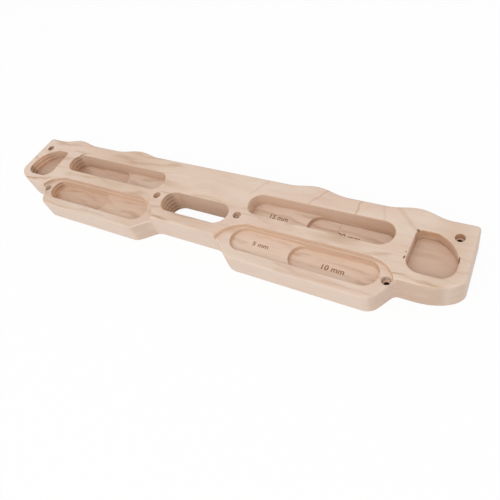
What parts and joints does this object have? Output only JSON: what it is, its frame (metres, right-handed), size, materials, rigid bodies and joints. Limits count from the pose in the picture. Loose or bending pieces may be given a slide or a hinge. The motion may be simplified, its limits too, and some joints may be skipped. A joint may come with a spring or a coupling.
{
  "type": "hangboard",
  "caption": "Wall-mounted wooden climbing training board with stepped finger slots, recessed lobes, end pockets, a through slot and counterbored screw holes.",
  "frame": {"origin": "on the back face, at the middle of the board's outline", "axes": "+X along the board, +Y up the wall, +Z out of the wall towards the climber"},
  "size_m": [0.55, 0.1034, 0.03],
  "materials": {
    "long_grain_veneer": "satin sanded",
    "cross_grain_veneer": "matt end grain"
  },
  "bodies": {
    "root": {"back_veneer": "cross_grain_veneer", "core_ply_02": "long_grain_veneer", "core_ply_03": "cross_grain_veneer", "core_ply_04_left": "long_grain_veneer", "core_ply_04_right": "long_grain_veneer", "core_ply_05": "cross_grain_veneer", "core_ply_06": "long_grain_veneer", "core_ply_07": "cross_grain_veneer", "core_ply_08": "long_grain_veneer", "core_ply_09": "cross_grain_veneer", "core_ply_10": "long_grain_veneer", "core_ply_11": "cross_grain_veneer", "face_veneer": "long_grain_veneer"}
  },
  "joints": []
}
